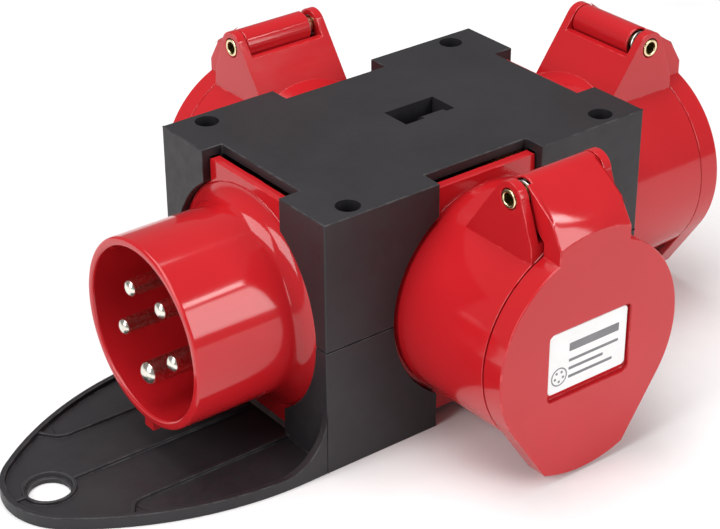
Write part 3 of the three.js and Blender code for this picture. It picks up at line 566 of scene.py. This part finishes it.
def hinge_block():
    side = [(COLLAR_FRONT, EAR_FOOT)] + EAR_FRONT_EDGE
    side += arc(HINGE_OUT, HINGE_UP, EAR_RADIUS, EAR_FRONT_ANGLE, EAR_BACK_ANGLE, 24)
    side += [(back_slope(EAR_FOOT), EAR_FOOT)]
    plate = BACK_PLATE / math.sin(math.radians(EAR_BACK_ANGLE - 90))
    hollow = [(back_slope(POCKET_FLOOR) + plate, POCKET_FLOOR), (FAR, POCKET_FLOOR), (FAR, FAR),
              (0, FAR), (0, BACK_PLATE_TOP), (back_slope(BACK_PLATE_TOP) + plate, BACK_PLATE_TOP)]
    return carve(prism(side, "X", -EAR_HALF, EAR_HALF), cuts=[
        prism(hollow, "X", -EAR_INNER, EAR_INNER),
        rod(HINGE_BORE, "X", -FAR, FAR, HINGE_OUT, HINGE_UP)])


def socket_body():
    collar = revolve([(0, FLANGE_BACK), (FLANGE_RADIUS - 1, FLANGE_BACK),
                      (FLANGE_RADIUS - 1, FLANGE_FRONT - 0.5), (COLLAR_BASE, FLANGE_FRONT),
                      (COLLAR_RADIUS, COLLAR_FRONT - 4), (COLLAR_RADIUS, COLLAR_FRONT),
                      (LIP_RADIUS, COLLAR_FRONT), (LIP_RADIUS, LIP_FRONT), (0, LIP_FRONT)])
    body = carve(flange_plate(), joins=[collar, hinge_block()], cuts=[
        rod(COLLAR_BORE, "Y", COLLAR_FLOOR, FAR, steps=ROUND),
        block(-KEYWAY_HALF, KEYWAY_HALF, COLLAR_FLOOR, COLLAR_FRONT - 2, -KEYWAY_TOP,
              2 - COLLAR_BORE),
        rod(FLOOR_HOLE, "Y", FLANGE_BACK - 1, COLLAR_FLOOR + 1, steps=ROUND)])
    return round_edges(body, FINE_EDGE, 2)


def contact_insert(face):
    block_profile = [(0, CARRIER_BACK), (CARRIER_BOSS, CARRIER_BACK),
                     (CARRIER_BOSS, COLLAR_FLOOR + GAP), (INSERT_RADIUS, COLLAR_FLOOR + GAP),
                     (INSERT_RADIUS, INSERT_FACE - INSERT_EDGE),
                     (INSERT_RADIUS - INSERT_EDGE, INSERT_FACE),
                     (0, INSERT_FACE)]
    chamber = INSERT_FACE - ENTRY_DEPTH
    cuts = []
    for _, x, z, radius in contact_places(face):
        cuts.append(rod(radius + ENTRY_CLEARANCE, "Y", chamber - 1, FAR, x, z))
        cuts.append(rod(radius + SLEEVE_CLEARANCE + SLEEVE_WALL + GAP, "Y", -FAR, chamber, x, z))
    return round_edges(carve(revolve(block_profile), cuts=cuts), FINE_EDGE, 2)


def contact_sleeve(x, z, radius):
    inner = radius + SLEEVE_CLEARANCE
    outer = inner + SLEEVE_WALL
    mouth = INSERT_FACE - ENTRY_DEPTH - GAP
    return revolve([(0, TAIL_END), (TAIL_RADIUS, TAIL_END), (TAIL_RADIUS, CARRIER_BACK),
                    (outer, CARRIER_BACK), (outer, mouth - 0.3), (outer - 0.3, mouth),
                    (inner + 0.3, mouth), (inner, mouth - 0.3), (inner, 0), (0, 0)],
                   steps=SMALL_ROUND, x=x, z=z)


def hinge_pin():
    """A hollow rivet with rolled ends."""
    roll = 0.35
    profile = []
    for end, sweep in ((-1, 1), (1, -1)):
        outer = [(PIN_OUTER - roll + roll * math.cos(math.radians(a)),
                  end * (PIN_HALF - roll) + end * roll * math.sin(math.radians(a)))
                 for a in range(0, 91, 30)]
        inner = [(PIN_BORE + roll - roll * math.cos(math.radians(a)),
                  end * (PIN_HALF - roll) + end * roll * math.sin(math.radians(a)))
                 for a in range(0, 91, 30)]
        profile += (inner + outer[::-1]) if sweep > 0 else (outer + inner[::-1])
    pin = revolve(profile, steps=48, closed=True)
    pin.data.transform(Matrix.Translation((0, HINGE_OUT * MM, HINGE_UP * MM))
                       @ Matrix.Rotation(math.radians(90), 4, "Z"))
    return pin


def lid_spring():
    """A wire swept along a coil round the hinge pin."""
    turns_steps, wire_steps = 28, 8
    total = SPRING_TURNS * turns_steps
    pitch = (SPRING_END - SPRING_START) / total
    verts = []
    for i in range(total + 1):
        angle = 2 * math.pi * i / turns_steps
        out, up = math.cos(angle), math.sin(angle)
        for j in range(wire_steps):
            around = 2 * math.pi * j / wire_steps
            radius = SPRING_RADIUS + SPRING_WIRE * math.cos(around)
            verts.append((SPRING_START + pitch * i + SPRING_WIRE * math.sin(around),
                          HINGE_OUT + radius * out, HINGE_UP + radius * up))
    faces = [list(range(wire_steps)), list(range(len(verts) - wire_steps, len(verts)))]
    for i in range(total):
        for j in range(wire_steps):
            a, b = i * wire_steps + j, i * wire_steps + (j + 1) % wire_steps
            faces.append((a, b, b + wire_steps, a + wire_steps))
    return new_object("spring", verts, faces)


def lid_outline(radius, beak_radius, half, steps=72):
    corner = math.degrees(math.acos(half / beak_radius))
    tangent = corner - math.degrees(math.acos(radius / beak_radius))
    return (arc(0, 0, radius, -tangent, 180 + tangent, steps)
            + arc(0, 0, beak_radius, 180 + corner, 360 - corner, steps // 3))


def lid_neck():
    top_y, top_z = hinge_point(NECK_TOP_ANGLE, BARREL_RADIUS)
    drop = math.tan(math.radians(NECK_DROP))

    def slope_at(y):
        return top_z - (y - top_y) * drop

    side = [(HINGE_OUT, HINGE_UP), (top_y, top_z), (LID_FACE, slope_at(LID_FACE)),
            (LID_FACE, NECK_FOOT), (LID_BACK, NECK_FOOT), (LID_BACK, 34)] + NECK_HEEL
    inside = [(HOLLOW_BACK, slope_at(HOLLOW_BACK) - NECK_ROOF),
              (LID_INNER, slope_at(LID_INNER) - NECK_ROOF), (LID_INNER, HOLLOW_FLOOR),
              (HOLLOW_TOE, HOLLOW_FLOOR), (HOLLOW_BACK, HOLLOW_BEND)]
    reach = CONE_REACH
    cone = revolve([(0, CONE_BACK), (reach, CONE_BACK),
                    (reach, LID_FACE - (reach - NECK_ARC) / CONE_SLOPE),
                    (NECK_ARC, LID_FACE), (0, LID_FACE)], steps=256)
    plan = prism([(-NECK_BACK_HALF, HINGE_OUT), (NECK_BACK_HALF, HINGE_OUT),
                  (NECK_HALF, LID_FACE), (-NECK_HALF, LID_FACE)], "Z", 0, FAR)
    inner = NECK_BACK_HALF - NECK_WALL
    neck = carve(prism(side, "X", -NECK_HALF, NECK_HALF), cuts=[prism(inside, "X", -inner, inner)],
                 keep=plan)
    return carve(neck, keep=cone)


def lid():
    plate = prism(lid_outline(LID_RADIUS, BEAK_RADIUS, BEAK_HALF), "Y", LID_BACK, LID_FACE)
    hollow = prism(lid_outline(LID_RADIUS - LID_WALL, BEAK_RADIUS - LID_WALL, BEAK_HALF - 1.5),
                   "Y", LID_BACK - 1, LID_INNER)
    barrel = rod(BARREL_RADIUS, "X", BARREL_START, BARREL_END, HINGE_OUT, HINGE_UP, 64)
    r = RECESS
    recess = prism(rounded_rectangle(r["width"], r["height"], r["corner"], 0, r["centre"]), "Y",
                   r["floor"], FAR)
    whole = carve(plate, joins=[lid_neck(), barrel], cuts=[
        hollow, rod(HINGE_BORE, "X", -FAR, 1, HINGE_OUT, HINGE_UP),
        rod(SPRING_BORE, "X", 0, FAR, HINGE_OUT, HINGE_UP), recess])
    return round_edges(whole, LID_EDGE, 3)


def lid_seal():
    edge = 0.25
    ring = [(SEAL_INNER, SEAL_BACK + edge), (SEAL_INNER + edge, SEAL_BACK),
            (SEAL_OUTER - edge, SEAL_BACK), (SEAL_OUTER, SEAL_BACK + edge),
            (SEAL_OUTER, SEAL_FRONT), (SEAL_INNER, SEAL_FRONT)]
    return revolve(ring, closed=True)


def lid_label():
    l = LABEL
    label = prism(rounded_rectangle(l["width"], l["height"], l["corner"], 0, l["centre"]), "Y",
                  l["back"], l["front"])
    return round_edges(label, 0.08, 2, sharper_than=60)


def label_print():
    """Plain bars and a five-dot pin layout, printed on the label."""
    low, high = LABEL["front"] - 0.05, LABEL["front"] + 0.03
    bars = [(2.2, 3.6, 18.4, 2.6), (2.2, -0.6, 18.4, 0.9), (-0.6, -3.2, 12.8, 0.9),
            (1.2, -5.8, 16.4, 0.9)]
    marks = [prism(rounded_rectangle(width, height, 0.3, -x, LABEL["centre"] + z, 3),
                   "Y", low, high) for x, z, width, height in bars]
    ring_x, ring_z = 10.4, LABEL["centre"] - 4.6
    ring = carve(rod(2.9, "Y", low, high, ring_x, ring_z, 48),
                 cuts=[rod(2.5, "Y", low - 1, high + 1, ring_x, ring_z, 48)])
    marks += [rod(0.42, "Y", low, high, ring_x + 1.55 * math.cos(math.radians(angle)),
                  ring_z + 1.55 * math.sin(math.radians(angle)), 16)
              for angle, _ in CONTACTS.values()]
    return carve(ring, joins=marks)


# Materials

def shader(name, **values):
    mat = bpy.data.materials.new(name)
    mat.use_nodes = True
    bsdf = mat.node_tree.nodes["Principled BSDF"]
    for key, value in values.items():
        bsdf.inputs[key].default_value = value
    return mat, mat.node_tree, bsdf


def add_node(tree, kind, **settings):
    node = tree.nodes.new(kind)
    for key, value in settings.items():
        if hasattr(node, key):
            setattr(node, key, value)
        else:
            node.inputs[key.replace("_", " ")].default_value = value
    return node


def noise(tree, scale, detail=4.0, roughness=0.55, stretch=(1, 1, 1)):
    place = add_node(tree, "ShaderNodeTexCoord")
    mapping = add_node(tree, "ShaderNodeMapping")
    mapping.inputs["Scale"].default_value = stretch
    texture = add_node(tree, "ShaderNodeTexNoise")
    texture.inputs["Scale"].default_value = scale
    texture.inputs["Detail"].default_value = detail
    texture.inputs["Roughness"].default_value = roughness
    tree.links.new(place.outputs["Object"], mapping.inputs["Vector"])
    tree.links.new(mapping.outputs["Vector"], texture.inputs["Vector"])
    return texture.outputs["Fac"]


def spread(tree, value, low, high, out_low=0.0, out_high=1.0):
    node = add_node(tree, "ShaderNodeMapRange")
    node.inputs["From Min"].default_value = low
    node.inputs["From Max"].default_value = high
    node.inputs["To Min"].default_value = out_low
    node.inputs["To Max"].default_value = out_high
    tree.links.new(value, node.inputs["Value"])
    return node.outputs["Result"]


def blend_colour(tree, amount, one, two):
    node = add_node(tree, "ShaderNodeMix", data_type="RGBA")
    tree.links.new(amount, node.inputs["Factor"])
    for socket, value in ((node.inputs[6], one), (node.inputs[7], two)):
        if isinstance(value, tuple):
            socket.default_value = (*value, 1)
        else:
            tree.links.new(value, socket)
    return node.outputs[2]


def product(tree, one, two):
    node = add_node(tree, "ShaderNodeMath", operation="MULTIPLY")
    tree.links.new(one, node.inputs[0])
    tree.links.new(two, node.inputs[1])
    return node.outputs[0]


def bump(tree, height, distance, strength=1.0, under=None):
    node = add_node(tree, "ShaderNodeBump")
    node.inputs["Distance"].default_value = distance * MM
    node.inputs["Strength"].default_value = strength
    tree.links.new(height, node.inputs["Height"])
    if under is not None:
        tree.links.new(under, node.inputs["Normal"])
    return node.outputs["Normal"]


def worn_edges(tree, scale=260, low=0.42, high=0.62):
    edge = add_node(tree, "ShaderNodeAttribute", attribute_name="worn_edge")
    patches = spread(tree, noise(tree, scale, 5), low, high)
    return product(tree, edge.outputs["Fac"], patches)


def moulded_plastic(name, colour, second, edge, roughness, grain, depth, blotch=30):
    """Moulded plastic with a spark-eroded grain, faint tone changes and rubbed edges."""
    mat, tree, bsdf = shader(name)
    bsdf.inputs["Specular IOR Level"].default_value = 0.38
    tone = spread(tree, noise(tree, blotch, 6), 0.35, 0.65)
    base = blend_colour(tree, tone, colour, second)
    base = blend_colour(tree, worn_edges(tree), base, edge)
    gloss = spread(tree, noise(tree, blotch * 9, 5), 0.3, 0.7, roughness - 0.05, roughness + 0.07)
    fine = noise(tree, grain, 2, 0.6)
    tree.links.new(base, bsdf.inputs["Base Color"])
    tree.links.new(gloss, bsdf.inputs["Roughness"])
    tree.links.new(bump(tree, fine, depth), bsdf.inputs["Normal"])
    return mat


def glossy_plastic(name, colour, second, edge, roughness):
    """Glossy moulded plastic: faint flow lines, hairline scuffs and softly rippled skin."""
    mat, tree, bsdf = shader(name)
    bsdf.inputs["IOR"].default_value = 1.5
    flow = spread(tree, noise(tree, 22, 5), 0.35, 0.65)
    base = blend_colour(tree, flow, colour, second)
    base = blend_colour(tree, worn_edges(tree, 320, 0.5, 0.7), base, edge)
    scuffs = spread(tree, noise(tree, 90, 7, 0.65, (1, 1, 9)), 0.35, 0.8, roughness,
                    roughness + 0.06)
    ripple = bump(tree, noise(tree, 55, 2), 0.01)
    skin = bump(tree, noise(tree, 1400, 2), 0.0008, under=ripple)
    tree.links.new(base, bsdf.inputs["Base Color"])
    tree.links.new(scuffs, bsdf.inputs["Roughness"])
    tree.links.new(skin, bsdf.inputs["Normal"])
    return mat


def worked_metal(name, colour, dark, roughness, stretch=(1, 1, 1), depth=0.004):
    """Drawn or turned metal with fine tool lines and a little tarnish."""
    mat, tree, bsdf = shader(name, Metallic=1.0)
    tarnish = spread(tree, noise(tree, 180, 6), 0.45, 0.75)
    lines = noise(tree, 900, 3, 0.5, stretch)
    tree.links.new(blend_colour(tree, tarnish, colour, dark), bsdf.inputs["Base Color"])
    tree.links.new(spread(tree, lines, 0.3, 0.7, roughness - 0.05, roughness + 0.1),
                   bsdf.inputs["Roughness"])
    tree.links.new(bump(tree, lines, depth), bsdf.inputs["Normal"])
    return mat


def film(name, colour, second, roughness):
    mat, tree, bsdf = shader(name)
    tone = spread(tree, noise(tree, 120, 6), 0.3, 0.7)
    tree.links.new(blend_colour(tree, tone, colour, second), bsdf.inputs["Base Color"])
    tree.links.new(spread(tree, noise(tree, 700, 4), 0.3, 0.7, roughness - 0.05,
                          roughness + 0.08), bsdf.inputs["Roughness"])
    tree.links.new(bump(tree, noise(tree, 1600, 3), 0.003), bsdf.inputs["Normal"])
    return mat


HOUSING = moulded_plastic("housing_plastic", (0.0150, 0.0135, 0.0155), (0.0205, 0.0185, 0.0210),
                          (0.050, 0.048, 0.050), 0.46, 2600, 0.03)
RED = glossy_plastic("red_plastic", (0.50, 0.012, 0.017), (0.46, 0.010, 0.014),
                     (0.58, 0.045, 0.050), 0.09)
RED_INSERT = glossy_plastic("red_insert_plastic", (0.38, 0.008, 0.012), (0.34, 0.007, 0.011),
                            (0.42, 0.02, 0.025), 0.26)
BLACK_INSERT = moulded_plastic("insert_plastic", (0.022, 0.022, 0.024), (0.030, 0.030, 0.031),
                               (0.07, 0.07, 0.07), 0.42, 2200, 0.015)
RUBBER = moulded_plastic("seal_rubber", (0.014, 0.014, 0.015), (0.022, 0.022, 0.023),
                         (0.03, 0.03, 0.03), 0.72, 1800, 0.02)
NICKEL = worked_metal("nickel_plate", (0.80, 0.77, 0.69), (0.58, 0.54, 0.46), 0.2, (1, 14, 1))
BRASS = worked_metal("brass", (0.90, 0.78, 0.48), (0.62, 0.50, 0.24), 0.18)
COPPER = worked_metal("copper", (0.80, 0.38, 0.22), (0.42, 0.17, 0.09), 0.32)
STEEL = worked_metal("zinc_plated_steel", (0.58, 0.58, 0.57), (0.34, 0.33, 0.31), 0.32)
LABEL_FILM = film("label_film", (0.86, 0.86, 0.855), (0.80, 0.80, 0.795), 0.34)
LABEL_PRINT = film("label_print", (0.16, 0.16, 0.17), (0.20, 0.20, 0.21), 0.4)


# Assembly

make_piece("housing_top", upper_shell(), "housing", HOUSING, ["upper_shell"])
make_piece("housing_base", lower_shell(), "housing", HOUSING, ["lower_shell"])

inlet = face_matrix("inlet")
make_piece("inlet_housing", inlet_body(), "housing", RED, ["inlet_body"], inlet)
make_piece("pin_insert", pin_carrier(), "housing", RED_INSERT,
           ["inlet_pin_carrier"], inlet)
for contact, x, z, radius in contact_places("inlet"):
    tip = EARTH_TIP if contact == "PE" else PIN_TIP
    make_piece(f"pin_{contact}", inlet_pin(x, z, radius, tip), "housing", NICKEL,
               [f"inlet_pin_{contact}"], inlet)

patterns = dict(body=socket_body(), insert=contact_insert("front_socket"), pin=hinge_pin(),
                spring=lid_spring(), lid=lid(), seal=lid_seal(), label=lid_label(),
                print=label_print())
for socket in SOCKETS:
    where = face_matrix(socket)
    lid_body = f"{socket}_lid"
    for part, suffix, body, slot, material in (
            ("body", "body", "housing", "red_plastic", RED),
            ("insert", "contact_carrier", "housing", "black_insulator", BLACK_INSERT),
            ("pin", "hinge_pin", "housing", "brass", BRASS),
            ("spring", "lid_spring", "housing", "steel", STEEL),
            ("lid", "lid", lid_body, "red_plastic", RED),
            ("seal", "lid_seal", lid_body, "rubber", RUBBER),
            ("label", "lid_label", lid_body, "label", LABEL_FILM),
            ("print", "lid_label", lid_body, "label", LABEL_PRINT)):
        make_piece(f"{socket}_{part}_look", copy_of(patterns[part]), body, material,
                   [f"{socket}_{suffix}"], where)
    for contact, x, z, radius in contact_places(socket):
        make_piece(f"{socket}_sleeve_{contact}", contact_sleeve(x, z, radius), "housing",
                   NICKEL, [f"{socket}_contact_{contact}"], where)
for pattern in patterns.values():
    bpy.data.objects.remove(pattern)

for name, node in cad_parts.items():
    material = COPPER if name.startswith("busbar") else STEEL
    if not node.hide_render:
        for slot_of in node.material_slots:
            slot_of.material = material


# Floor, light and camera

def soft_light(name, place, target, width, height, watts):
    data = bpy.data.lights.new(name, "AREA")
    data.shape = "RECTANGLE"
    data.size, data.size_y, data.energy = width, height, watts
    light = bpy.data.objects.new(name, data)
    light.location = place
    light.rotation_euler = (Vector(target) - Vector(place)).to_track_quat("-Z", "Y").to_euler()
    bpy.context.scene.collection.objects.link(light)


floor_mesh = bpy.data.meshes.new("floor")
floor_mesh.from_pydata([(-4, -4, 0), (4, -4, 0), (4, 4, 0), (-4, 4, 0)], [], [(0, 1, 2, 3)])
floor = bpy.data.objects.new("floor", floor_mesh)
bpy.context.scene.collection.objects.link(floor)
paper = film("floor_paper", (0.90, 0.90, 0.90), (0.88, 0.88, 0.88), 0.8)
floor.data.materials.append(paper)

world = bpy.data.worlds.new("studio")
world.use_nodes = True
world.node_tree.nodes["Background"].inputs["Color"].default_value = (1, 1, 1, 1)
world.node_tree.nodes["Background"].inputs["Strength"].default_value = 0.28
bpy.context.scene.world = world
bpy.context.scene.view_settings.view_transform = "Standard"

CENTRE = (-0.02, 0, 0.04)
soft_light("overhead", (-0.12, 0.1, 0.95), CENTRE, 0.9, 0.6, 7.5)
soft_light("left", (-0.95, -0.05, 0.55), CENTRE, 0.5, 0.7, 6)
soft_light("front", (0.35, -1.0, 0.5), CENTRE, 0.6, 0.6, 6)
soft_light("strip", (0.43, -0.58, 0.72), CENTRE, 0.25, 0.06, 0.6)

CAMERA_PLACE = (-0.34012, -0.42155, 0.33461)
CAMERA_TURN, CAMERA_TILT, CAMERA_ROLL = -0.614768, 0.526837, -0.025727
FOCAL_PIXELS, CENTRE_X, CENTRE_Y = 2034.53, 289.25, 296.70
VIEW_WIDTH, VIEW_HEIGHT = 720, 529

back = Vector((math.sin(CAMERA_TURN) * math.cos(CAMERA_TILT),
               -math.cos(CAMERA_TURN) * math.cos(CAMERA_TILT), math.sin(CAMERA_TILT)))
right = Vector((math.cos(CAMERA_TURN), math.sin(CAMERA_TURN), 0))
up = back.cross(right)
turned_right = right * math.cos(CAMERA_ROLL) + up * math.sin(CAMERA_ROLL)
turned_up = up * math.cos(CAMERA_ROLL) - right * math.sin(CAMERA_ROLL)
camera = bpy.data.objects.new("camera", bpy.data.cameras.new("camera"))
camera.matrix_world = Matrix.Translation(CAMERA_PLACE) @ Matrix(
    (turned_right, turned_up, back)).transposed().to_4x4()
camera.data.sensor_width = 36
camera.data.lens = 36 * FOCAL_PIXELS / VIEW_WIDTH
camera.data.shift_x = (VIEW_WIDTH / 2 - CENTRE_X) / VIEW_WIDTH
camera.data.shift_y = (CENTRE_Y - VIEW_HEIGHT / 2) / VIEW_WIDTH
camera.data.clip_start = 0.01
bpy.context.scene.collection.objects.link(camera)
bpy.context.scene.camera = camera

bpy.context.view_layer.update()
